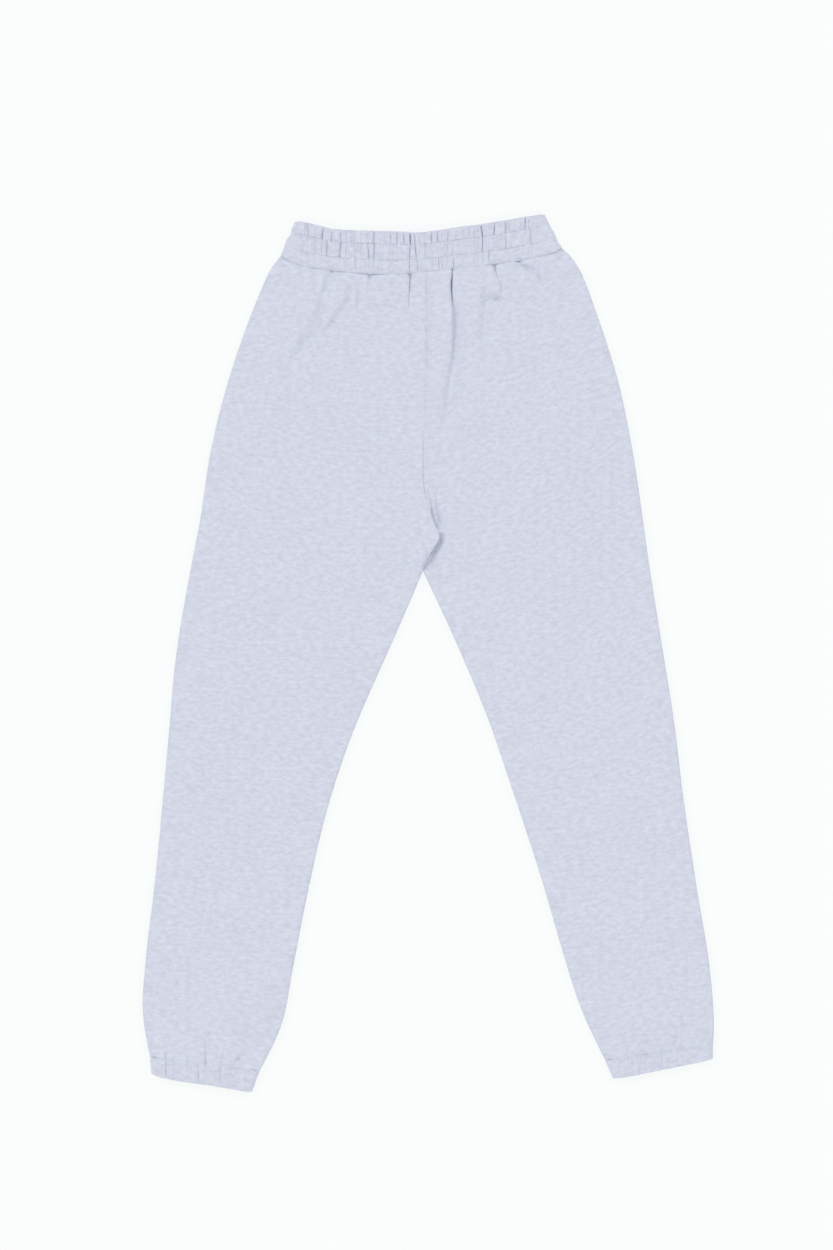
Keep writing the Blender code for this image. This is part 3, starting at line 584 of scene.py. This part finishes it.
def back_panel_points(panel):
    """A back panel's outer face, plain, and with its creases, gathers and seams."""
    grid = panel_grid(panel, True)
    plain = grid[..., :3]
    x, y, z, from_side, from_inner = (grid[..., k] for k in range(5))
    keep = smooth(np.minimum(from_side, np.abs(from_inner) + INNER_EDGE) / PANEL_EDGE)
    lean, height = crease_relief(panel, x, y)
    z = z + keep * height
    for rise, scale, seed in SWELLS:
        z = z + keep * rise * noises(x, y, scale, seed)
    # gathers below the waistband, and its seam
    drop = curve(WAIST_SEAM, 0, 1, np.clip(x, WAIST_SEAM[0][0], WAIST_SEAM[-1][0])) - y
    for top_x, bottom_x, *depths, below in BAND_GATHERS:
        z = z - keep * run_on(x - bottom_x, drop, below, BELOW_BAND)
    sink = seam_sink(WAIST_SEAM_DEPTH, SEAM_SINKS, x)
    z = z - keep * sink * fade(drop, WAIST_SEAM_REACH)
    # gathers above the hem casing, and its seam
    hem = SECTIONS[panel][-1]
    run = np.array((hem[2] - hem[0], hem[3] - hem[1]))
    length = hypot(*run)
    share = ((x - hem[0]) * run[0] + (y - hem[1]) * run[1]) / length**2
    rise = np.abs((y - hem[1]) * run[0] - (x - hem[0]) * run[1]) / length
    for at, depth, above in CASING_GATHERS[panel]:
        z = z - keep * run_on((share - at) * length, rise, above, ABOVE_CASING)
    sink = seam_sink(CASING_SEAM_DEPTH, CASING_SINKS[panel], share)
    z = z - keep * sink * fade(rise, CASING_SEAM_REACH)
    # the centre seam: a low ridge over its allowances, a line beside it high up and a stitched
    # row further out lower down
    seat = smooth((y - SEAT_FROM) / SEAT_BLEND)
    gap = np.abs(from_inner)
    low = smooth((ROWS_FROM - y) / ROWS_BLEND)
    firm = (0.25 + 0.75 * low) * ROW_FIRM[panel]
    close = 0.8 * (1 - low) if panel == "left" else 0.1
    seam = close * bell((gap - LINE_PLACE) / LINE_WIDTH) - RIDGE_HEIGHT * bell(gap / RIDGE_WIDTH)
    seam = seam + firm * bell((gap - TOPSTITCH) / ROW_WIDTH)
    pucker = PUCKER_DEPTH * np.sin(y * PUCKER_PACE) * bell(gap / PUCKER_WIDTH)
    z = z - seat * (seam + pucker)
    z = raised(z, np.minimum(PANEL_FLOOR, plain[..., 2]), keep)
    return plain, np.stack([x + keep * lean, y, z], axis=-1)


def band_x(place, down):
    """Place along the band, pushed out or in at its ends for the level down the band."""
    left = eased(BAND_ENDS, 0, 1, down, 0.03) - BAND_LEFT
    right = eased(BAND_ENDS, 0, 2, down, 0.03) - BAND_LEFT - BAND_LENGTH
    from_end = np.clip(np.minimum(place, BAND_LENGTH - place) - BAND_END_ZONE, 0, None)
    lean = (1 - from_end / (BAND_LENGTH / 2 - BAND_END_ZONE)) ** 4
    return BAND_LEFT + place + lean * np.where(place < BAND_LENGTH / 2, left, right)


def swell(v, least):
    """Share of a gather's depth between two rows of stitching, from the least beside them."""
    return least + (1 - least) * (1 - abs(2 * v - 1) ** SWELL_BLUNT)


def fold(apart, width, shape):
    """Depth of a gather apart from its middle: a wide hollow with a narrow one in it."""
    wide, narrow, narrow_width = shape
    return wide * fade(apart, width) + narrow * bell(apart / narrow_width)


def held(depth, limits):
    """The share of the gathers' depth that shows, held to the deepest."""
    share, deepest = limits
    return np.minimum(share * depth, deepest)


def channel_depth(x, channel, down, v, wobbles):
    """Depth of the gathers in one channel of the waistband, v from its top to its bottom."""
    depth = np.zeros_like(x)
    for (top_x, bottom_x, *depths), (shift, slant, width) in zip(BAND_GATHERS, wobbles):
        at = top_x + (bottom_x - top_x) * down + shift + slant * (v - 0.5)
        depth += depths[channel] * swell(v, BAND_SWELL) * fold(x - at, width, BAND_FOLD)
    return depth


def stitch_pull(x, row):
    """How far a row of stitching, counted from the waistband's top fold, draws the cloth in."""
    if row == 0:
        return np.full_like(x, 1.1)
    if row == 3:
        return 0.9 + 0.3 * noises(x, 0 * x, 18.0, STITCH_SEED)
    return np.maximum(0.85 + 1.1 * noises(x, 0 * x, 15.0, STITCH_SEED + row), 0.15)


def band_grid(back, panel_tops):
    """One half of the waistband's outer face from its seam up, as a plain grid and a gathered one.
    The back half meets the panels' top edges."""
    draw = random.Random(71 if back else 72)
    # each gather's shift, slant and half width in each channel
    wobbles = [[(draw.uniform(-0.4, 0.4), draw.uniform(-1.6, 1.6), draw.uniform(1.1, 2.0))
                for gather in BAND_GATHERS] for channel in range(3)]
    # fine gathers: place, depth in each channel and slant
    fine = []
    at = BAND_LEFT + 16.0
    while at < BAND_LEFT + BAND_LENGTH - 14.0:
        fine.append((at, [draw.uniform(0.1, 1.0) for k in range(3)], draw.uniform(-1.6, 1.6)))
        at += draw.uniform(1.9, 4.4)
    stops = (0.0,) + STITCH_ROWS + (1.0,)
    downs = []
    for channel in range(3):
        top, bottom = stops[channel], stops[channel + 1]
        for k in range(BAND_ROWS[back] + (channel == 2)):
            v = k / BAND_ROWS[back]
            downs.append((top + (bottom - top) * (0.5 - 0.5 * cos(pi * v)), channel, v))
    count = round((BAND_LENGTH - 12.0) / BAND_SPACING[back])
    place, level, keep = even_row(back, BAND_LENGTH, count, BAND_CROWN if back else 0.0, BAND_EDGE)
    from_end = np.minimum(place, BAND_LENGTH - place)
    top_y = curve(BAND_TOP, 0, 1, band_x(place, 0.0)) - BAND / 2
    seam_y = curve(WAIST_SEAM, 0, 1, band_x(place, 1.0)) + SEAM_GAP / 2
    seam_y = seam_y + (0 if back else FRONT_SEAM_RISE)
    plain, gathered = [], []
    for down, channel, v in reversed(downs):
        x, y, z = band_x(place, down), top_y + down * (seam_y - top_y), level
        plain.append(np.stack([x, y, z], axis=1))
        depth = channel_depth(x, channel, down, v, wobbles[channel])
        for fine_x, depths, slant in fine:
            apart = x - fine_x - slant * (v - 0.5)
            depth += FINE_DEPTHS[channel] * depths[channel] * fade(apart, FINE_WIDTH)
        depth = depth * keep
        sink = held(depth, BAND_SINK[back])
        if back:
            # rows of stitching draw the cloth in unevenly
            above, beneath = stitch_pull(x, channel), stitch_pull(x, channel + 1)
            pull = fade(v, STITCH_REACH) * above + fade(1 - v, STITCH_REACH) * beneath
            z = z - (0.3 + 0.7 * keep) * pull - sink * (1.0 if 0 < down < 1 else 0.75)
            y = y - BAND_RIM * np.minimum(depth, RIM_DEEPEST) * (1 - smooth(down / 0.18))
            y = y - CORNER * fade(from_end, CORNER_REACH) * (1 - smooth(down / 0.12))
            z = z + keep * 0.3 * noises(x, y, 24.0, 4.4)
            if down == 1.0:
                meet_x, meet_z = x, np.interp(x, *panel_tops) - z
            near = fade((1 - down) * BAND_HEIGHT, WAIST_SEAM_REACH)
            z = z + keep * np.interp(x, meet_x, meet_z) * near
            z = raised(z, BAND_FLOOR, keep)
        else:
            z = z + sink
        gathered.append(np.stack([x, y, z], axis=1))
    return np.array(plain), np.array(gathered)


def casing_grid(panel, back, leg_end):
    """One half of a hem casing's outer face from its seam down, as a plain and a gathered grid.
    The back half meets the leg's lower edge."""
    hem, edge = SECTIONS[panel][-1], CASING_EDGE[panel]
    top_side, top_inner, free_side, free_inner = (
        np.array(ends[k : k + 2]) for ends in (hem, edge) for k in (0, 2))
    draw = random.Random(len(panel) * 10 + back)
    # share of the way across, depth, slant, half width
    gathers = [(at, depth, draw.uniform(-1.5, 1.5), draw.uniform(0.9, 1.5))
               for at, depth, above in CASING_GATHERS[panel]]
    at = 0.04
    while at < 0.96:
        gathers.append((at, draw.uniform(0.1, 1.2), draw.uniform(-1.2, 1.2), 0.9))
        at += draw.uniform(0.018, 0.04)
    reach = top_inner - top_side
    end_share = (leg_end[:, :2] - top_side) @ reach / (reach @ reach)
    order = np.argsort(end_share)
    leg_line = end_share[order], leg_end[order, 2]
    out = (free_side + free_inner - top_side - top_inner) / 2
    out = out / hypot(*out)
    plain, gathered = [], []
    for k in range(CASING_ROWS[back] + 1):
        down = 0.5 - 0.5 * cos(pi * k / CASING_ROWS[back])
        height = 7.3 + 1.3 * (1 - abs(2 * down - 1) ** 2.6) + 0.4 * down if back else 0.0
        side = top_side + (free_side - top_side) * down
        across = top_inner + (free_inner - top_inner) * down - side
        width = hypot(*across)
        place, z, keep = even_row(back, width, CASING_COLUMNS[back], height, CASING_SIDE)
        depth = np.zeros_like(place)
        for share, deep, slant, narrow in gathers:
            spot = share * (1 + CASING_SPREAD * down) * width + slant * (down - 0.5)
            depth += deep * fold(place - spot, narrow, CASING_FOLD)
        depth = depth * swell(down, CASING_SWELL) * keep
        sink = held(depth, CASING_SINK[back])
        push = eased(CASING_BOW[panel], 0, 1, place / width, 0.03) - CASING_SHRINK[back]
        push = push * down
        x = side[0] + across[0] * place / width + out[0] * push
        y = side[1] + across[1] * place / width + out[1] * push - SEAM_GAP / 2 * (1 - down)
        plain.append(np.stack([x, y, z], axis=1))
        if back:
            z = z - sink
            if k == 0:
                meet_share = place / width
                meet_z = np.interp(meet_share, *leg_line) - z
            near = fade(down * CASING_HEIGHT, CASING_REACH)
            z = z + keep * np.interp(place / width, meet_share, meet_z) * near
            z = raised(z, CASING_FLOOR, keep)
            pull = CASING_RIM * np.minimum(depth, RIM_DEEPEST) * smooth((down - 0.7) / 0.3)
            x, y = x - out[0] * pull, y - out[1] * pull
        else:
            z = z + sink
        gathered.append(np.stack([x, y, z], axis=1))
    plain, gathered = np.array(plain), np.array(gathered)
    return (plain[:, ::-1], gathered[:, ::-1]) if panel == "right" else (plain, gathered)




def normals_of(points, upward):
    """Unit normals of a grid of points."""
    along = np.gradient(points, axis=1)
    down = np.gradient(points, axis=0)
    normal = np.cross(along, down)
    normal /= np.linalg.norm(normal, axis=2, keepdims=True) + 1e-12
    middle = normal[:, normal.shape[1] // 2, 2].mean()
    return normal if (middle > 0) == upward else -normal


def courses(points):
    """Coordinates that follow the knit: along its courses, across them and through the cloth."""
    x, y, z = points[:, 0], points[:, 1], points[:, 2]
    left, right = line(COURSES, 0, 1, y), line(COURSES, 0, 2, y)
    share = smooth((x + 2.0) / 3.0 + 0.5)
    angle = np.radians(left + (right - left) * share)
    return np.stack([x / np.cos(angle), y - np.tan(angle) * x, z], axis=1)


def lining(plain, points, wall, upward, least):
    """The inner face, a wall behind the plain form and below the deepest cloth nearby, but clear
    of the cloth under it."""
    inner = plain - wall * normals_of(plain, upward)
    detail = points[..., 2] - plain[..., 2]
    near = np.lib.stride_tricks.sliding_window_view(
        np.pad(detail, LINING_REACH, mode="edge"), (2 * LINING_REACH + 1,) * 2)
    inner[..., 2] += near.min(axis=(2, 3)) if upward else near.max(axis=(2, 3))
    if upward:
        lowest = np.minimum(least, points[..., 2] - THINNEST)
        inner[..., 2] = np.maximum(inner[..., 2], lowest)
    return inner


def added(name, data):
    """A new object in the scene."""
    thing = bpy.data.objects.new(name, data)
    bpy.context.scene.collection.objects.link(thing)
    return thing


def smooth_mesh(name, places, faces):
    """A smooth-shaded mesh from places in millimetres."""
    mesh = bpy.data.meshes.new(name)
    coords = (np.array(places) + np.array((ORIGIN_X, 0.0, 0.0))) * MM
    mesh.from_pydata(coords.tolist(), [], faces)
    mesh.shade_smooth()
    return mesh


def sheet_object(name, plain, points, wall, upward, least=0.0, rounded=False):
    """A closed cloth piece: its outer grid, the inner face a wall behind it, and the rims.  The
    last row is a rounded fold where rounded is set."""
    inner = lining(plain, points, wall, upward, least)
    rows = list(points)
    if rounded:
        tip = plain[-1] - plain[-2]
        tip /= np.linalg.norm(tip, axis=1, keepdims=True)
        middle, half = (points[-1] + inner[-1]) / 2, (points[-1] - inner[-1]) / 2
        radius = np.linalg.norm(half, axis=1, keepdims=True)
        for k in range(1, RIM_STEPS):
            angle = pi * k / RIM_STEPS
            rows.append(middle + cos(angle) * half + sin(angle) * radius * tip)
    rows += list(inner[::-1])
    count, across, total = len(points), points.shape[1], len(rows)
    faces = []
    for r in range(total):
        a, b = r * across, ((r + 1) % total) * across
        faces += [(a + c, a + c + 1, b + c + 1, b + c) for c in range(across - 1)]
    for c in (0, across - 1):
        for r in range(count - 1):
            back = total - 1 - r
            ring = (r, r + 1, back - 1, back)
            faces.append(tuple(place * across + c for place in ring))
        if rounded:
            faces.append(tuple(r * across + c for r in range(count - 1, total - count + 1)))
    places = np.concatenate(rows)
    mesh = smooth_mesh(name, places, faces)
    build = bmesh.new()
    build.from_mesh(mesh)
    bmesh.ops.recalc_face_normals(build, faces=build.faces)
    build.to_mesh(mesh)
    build.free()
    mesh.set_sharp_from_angle(angle=radians(SHARP))
    knit = mesh.attributes.new("knit", "FLOAT_VECTOR", "POINT")
    knit.data.foreach_set("vector", (courses(places) * MM).astype(np.float32).ravel())
    return added(name, mesh)


def put(node, values):
    """Sets a node's inputs by name or number, each to a value or from a node's output."""
    for name, value in values.items():
        if isinstance(value, bpy.types.NodeSocket):
            node.id_data.links.new(value, node.inputs[name])
        else:
            node.inputs[name].default_value = value


def new_node(tree, kind, values, operation=None):
    """A new shader node with its inputs."""
    node = tree.nodes.new("ShaderNode" + kind)
    if operation:
        node.operation = operation
    put(node, values)
    return node


def bump(tree, height, strength, distance):
    """A new bump node."""
    return new_node(tree, "Bump", {"Height": height, "Strength": strength, "Distance": distance})


def new_material(name, values):
    """A new material with its node tree and its shader, and values on the shader's inputs."""
    made = bpy.data.materials.new(name)
    made.use_nodes = True
    shader = made.node_tree.nodes["Principled BSDF"]
    put(shader, values)
    return made, made.node_tree, shader


def fleece(name, colour):
    """Heather fleece: dyed and undyed fibres spun together, knitted in courses, softly brushed."""
    made, tree, shader = new_material(name, {
        "Roughness": 0.92, "Specular IOR Level": 0.18, "Sheen Weight": 0.12,
        "Sheen Roughness": 0.55})
    knit = new_node(tree, "Attribute", {})
    knit.attribute_name = "knit"

    def streaks(length, height, detail):
        """Noise stretched along the courses, its sizes in metres."""
        sizes = (1 / length, 1 / height, 1 / height)
        scale = new_node(tree, "VectorMath", {0: knit.outputs["Vector"], 1: sizes}, "MULTIPLY")
        return new_node(tree, "TexNoise", {
            "Vector": scale.outputs[0], "Scale": 1.0, "Detail": detail, "Roughness": 0.55,
        }).outputs["Fac"]

    def shade(length, height, detail, low, high, out_low, out_high):
        """Those streaks as a factor on the colour."""
        return new_node(tree, "MapRange", {
            "Value": streaks(length, height, detail), "From Min": low, "From Max": high,
            "To Min": out_low, "To Max": out_high}).outputs["Result"]

    def times(first, second):
        return new_node(tree, "Math", {0: first, 1: second}, "MULTIPLY").outputs[0]

    marl = shade(0.0074, 0.0038, 2.0, 0.2, 0.8, 0.888, 1.112)
    flecks = shade(0.0036, 0.0013, 1.0, 0.62, 0.80, 1.0, 0.91)
    pale = shade(0.0050, 0.0015, 1.0, 0.64, 0.82, 1.0, 1.07)
    broad = shade(0.070, 0.050, 2.0, 0.25, 0.75, 0.990, 1.010)
    share = times(times(marl, flecks), times(pale, broad))
    tint = new_node(tree, "VectorMath", {0: colour, "Scale": share}, "SCALE")
    fibres = bump(tree, streaks(0.0016, 0.0005, 3.0), 0.45, 0.00035)
    lumps = bump(tree, streaks(0.0045, 0.0022, 2.0), 0.5, 0.0006)
    put(lumps, {"Normal": fibres.outputs[0]})
    put(shader, {"Base Color": tint.outputs[0], "Normal": lumps.outputs[0]})
    return made


def thread_material():
    """Matching sewing thread, a little smoother and brighter than the fleece."""
    made, tree, shader = new_material("sewing_thread", {
        "Roughness": 0.6, "Specular IOR Level": 0.3})
    place = new_node(tree, "TexCoord", {}).outputs["Object"]
    twist = new_node(tree, "TexWave", {"Vector": place, "Scale": 900.0, "Distortion": 1.0})
    ramp = new_node(tree, "ValToRGB", {"Fac": twist.outputs["Fac"]})
    ramp.color_ramp.elements[0].color = (0.585, 0.61, 0.705, 1.0)
    ramp.color_ramp.elements[1].color = (0.64, 0.67, 0.77, 1.0)
    lines = bump(tree, twist.outputs["Fac"], 0.4, 0.0001)
    put(shader, {"Base Color": ramp.outputs["Color"], "Normal": lines.outputs[0]})
    return made


def distances(points):
    """How far along a run each of its points lies."""
    steps = np.linalg.norm(np.diff(points, axis=0), axis=1)
    return np.concatenate([[0.0], np.cumsum(steps)])


def follow(points, spacing):
    """Evenly spaced places and directions along a run of points."""
    along = distances(points)
    spots = np.arange(spacing / 2, along[-1], spacing)
    behind, places, ahead = (
        np.stack([np.interp(spots + shift, along, points[:, k]) for k in range(3)], axis=1)
        for shift in (-0.5, 0, 0.5))
    heading = ahead - behind
    return places, heading / np.linalg.norm(heading, axis=1, keepdims=True)


def stitches(name, runs):
    """Short rounded stitches along runs of points, joined in one mesh."""
    sides = STITCH_SIDES
    verts, faces = [], []
    for run in runs:
        for spot, heading in zip(*follow(run, STITCH_SPACING)):
            across = np.cross(heading, (0.0, 0.0, 1.0))
            across /= np.linalg.norm(across) + 1e-9
            over = np.cross(across, heading)
            base = len(verts)
            for along, size in STITCH_RINGS:
                dip = -1.2 * STITCH_RADIUS * (2 * along) ** 2
                centre = spot + heading * along * STITCH_LENGTH + over * dip
                for k in range(sides):
                    turn = 2 * pi * k / sides
                    ring = across * cos(turn) + over * sin(turn)
                    verts.append(centre + ring * STITCH_RADIUS * size)
            for r in range(len(STITCH_RINGS) - 1):
                for k in range(sides):
                    a, b = base + r * sides + k, base + r * sides + (k + 1) % sides
                    faces.append((a, b, b + sides, a + sides))
            faces.append(tuple(base + k for k in reversed(range(sides))))
            end = base + (len(STITCH_RINGS) - 1) * sides
            faces.append(tuple(end + k for k in range(sides)))
    return added(name, smooth_mesh(name, verts, faces))


def at_distance(points, distance, from_last=False):
    """The run of points at a distance in from a grid's first or last column."""
    run = []
    for row in points:
        ordered = row[::-1] if from_last else row
        along = distances(ordered)
        run.append([np.interp(distance, along, ordered[:, k]) for k in range(3)])
    return np.array(run)


def dress(piece, node):
    """Gives a cloth piece the fleece, attaches it to the root body and hides the solid it
    replaces.
    """
    piece.data.materials.append(body_cloth)
    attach(piece, "root")
    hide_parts(node)


def sewn(name, runs):
    """A piece of stitching lying on the cloth."""
    piece = stitches(name, [run + (0.0, 0.0, STITCH_RISE) for run in runs])
    piece.data.materials.append(thread)
    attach(piece, "root")
    return piece


body_cloth = fleece("heather_fleece", (0.621, 0.651, 0.754))
thread = thread_material()

panel_tops = []
for panel in SECTIONS:
    plain, points = back_panel_points(panel)
    panel_tops.append(points[0])
    leg_end = points[-1]
    # one of the twin rows beside the centre-back seam, down to where the seat folds over
    run = at_distance(points, TOPSTITCH, panel == "left")
    run = run[(run[:, 1] > TOPSTITCH_TO) & (run[:, 1] < TOPSTITCH_FROM)]
    row = sewn("topstitch_" + panel, [run])
    back = sheet_object("fleece_back_" + panel, plain, points, CLOTH, True, PANEL_LINING)
    dress(back, "back_panel_" + panel)
    points = panel_grid(panel, False)[..., :3]
    front = sheet_object("fleece_front_" + panel, points, points, CLOTH, False)
    dress(front, "front_panel_" + panel)
    for half in ("back", "front"):
        plain, points = casing_grid(panel, half == "back", leg_end)
        casing = sheet_object(f"hem_{panel}_{half}", plain, points, CASING, half == "back",
                              CASING_LINING, True)
        node = f"hem_casing_{panel}_{half}"
        if half == "back":
            run = at_distance(points.transpose(1, 0, 2), CASING_STITCH)[8:-8]
            rows = [sewn(f"hem_stitching_{panel}", [run])]
        dress(casing, node)

tops = np.concatenate(panel_tops)
tops = tops[np.argsort(tops[:, 0])]
plain, points = band_grid(True, (tops[:, 0], tops[:, 2]))
row = sewn("waistband_stitching", [points[BAND_ROWS[True] * k][6:-6] for k in (1, 2)])
band = sheet_object("waistband_gathered_back", plain, points, BAND, True, BAND_LINING, True)
dress(band, "waistband_back")
plain, points = band_grid(False, None)
band = sheet_object("waistband_gathered_front", plain, points, BAND, False, rounded=True)
dress(band, "waistband_front")


# pale floor, a hair below the cloth
mesh = bpy.data.meshes.new("floor")
reach, drop = 4.0, -0.0004
corners = [(-reach, -reach, drop), (reach, -reach, drop), (reach, reach, drop),
           (-reach, reach, drop)]
mesh.from_pydata(corners, [], [(0, 1, 2, 3)])
paint, _, shader = new_material("floor_white", {
    "Base Color": (0.12, 0.12, 0.12, 1.0), "Roughness": 0.9, "Specular IOR Level": 0.0,
    "Emission Color": (0.967, 1.0, 0.993, 1.0), "Emission Strength": 0.858})
mesh.materials.append(paint)
floor = added("floor", mesh)

world = bpy.data.worlds.new("studio")
bpy.context.scene.world = world
world.use_nodes = True
put(world.node_tree.nodes["Background"], {"Color": (1.0, 1.0, 1.0, 1.0), "Strength": 0.46})

# four wide soft boxes, low round the garment, a little stronger from the upper left
lift = radians(32.0)
for k, (bearing, energy) in enumerate([(135, 1.05), (45, 0.85), (225, 0.85), (315, 0.78)]):
    light = bpy.data.lights.new(f"softbox_{k}", "SUN")
    light.energy = energy
    light.angle = radians(34.0)
    turn = radians(bearing)
    way = Vector((cos(turn) * cos(lift), sin(turn) * cos(lift),
                  sin(lift)))
    lamp = added(light.name, light)
    lamp.location = way * 3.0
    lamp.rotation_euler = (-way).to_track_quat("-Z", "Y").to_euler()

# straight above, seeing 1406 mm of height, centred a little left of the garment and above it
view = bpy.data.cameras.new("camera")
view.lens = 85.0
view.sensor_width = 36.0
seen_height = 1.40625
eye = added("camera", view)
eye.location = (-0.0130, 0.0313, seen_height / 2 / (18.0 / view.lens) + 0.004)
bpy.context.scene.camera = eye
bpy.context.scene.view_settings.view_transform = "Standard"
